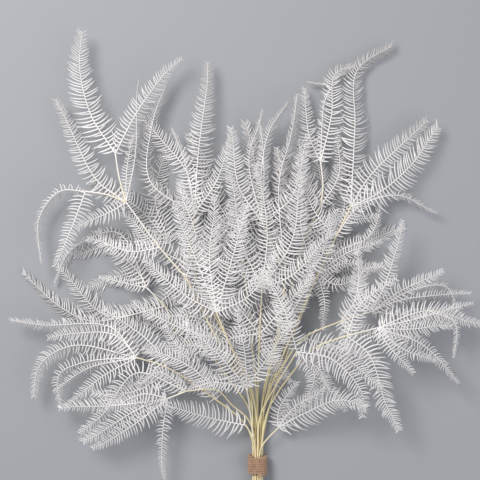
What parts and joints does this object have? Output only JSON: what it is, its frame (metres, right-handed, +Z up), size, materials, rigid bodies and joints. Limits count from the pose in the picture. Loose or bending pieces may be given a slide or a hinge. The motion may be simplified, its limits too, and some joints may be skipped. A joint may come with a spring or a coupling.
{
  "type": "fern frond bunch",
  "caption": "Bunch of bleached, dried forked-fern fronds with comb-like leaves on pale straw-coloured stems, bound with jute twine and lying flat",
  "frame": {"origin": "middle of the bunch's outline, on the surface that it lies on", "axes": "+Z up from the surface, +Y along the stems from the tie to the leaf tips, +X to the right seen from above"},
  "size_m": [0.6266, 0.6812, 0.1059],
  "materials": {
    "bleached_fern": "dry, matt, bleached leaf, near white, on pale straw-yellow stems",
    "jute_twine": "rough brown two-ply jute twine with loose fibres"
  },
  "bodies": {
    "root": {"frond_back_left": "bleached_fern", "frond_back_centre": "bleached_fern", "frond_back_right": "bleached_fern", "frond_left_middle": "bleached_fern", "frond_centre_right_high": "bleached_fern", "frond_right_high": "bleached_fern", "frond_right_middle": "bleached_fern", "frond_left_high": "bleached_fern", "frond_centre_left_high": "bleached_fern", "frond_inner_centre": "bleached_fern", "frond_centre_high": "bleached_fern", "frond_right_spreading": "bleached_fern", "frond_left_low": "bleached_fern", "frond_left_drooping": "bleached_fern", "frond_inner_left": "bleached_fern", "frond_right_low": "bleached_fern", "frond_right_drooping": "bleached_fern", "frond_low_right": "bleached_fern", "frond_front": "bleached_fern", "twine_tie": "jute_twine"}
  },
  "joints": []
}
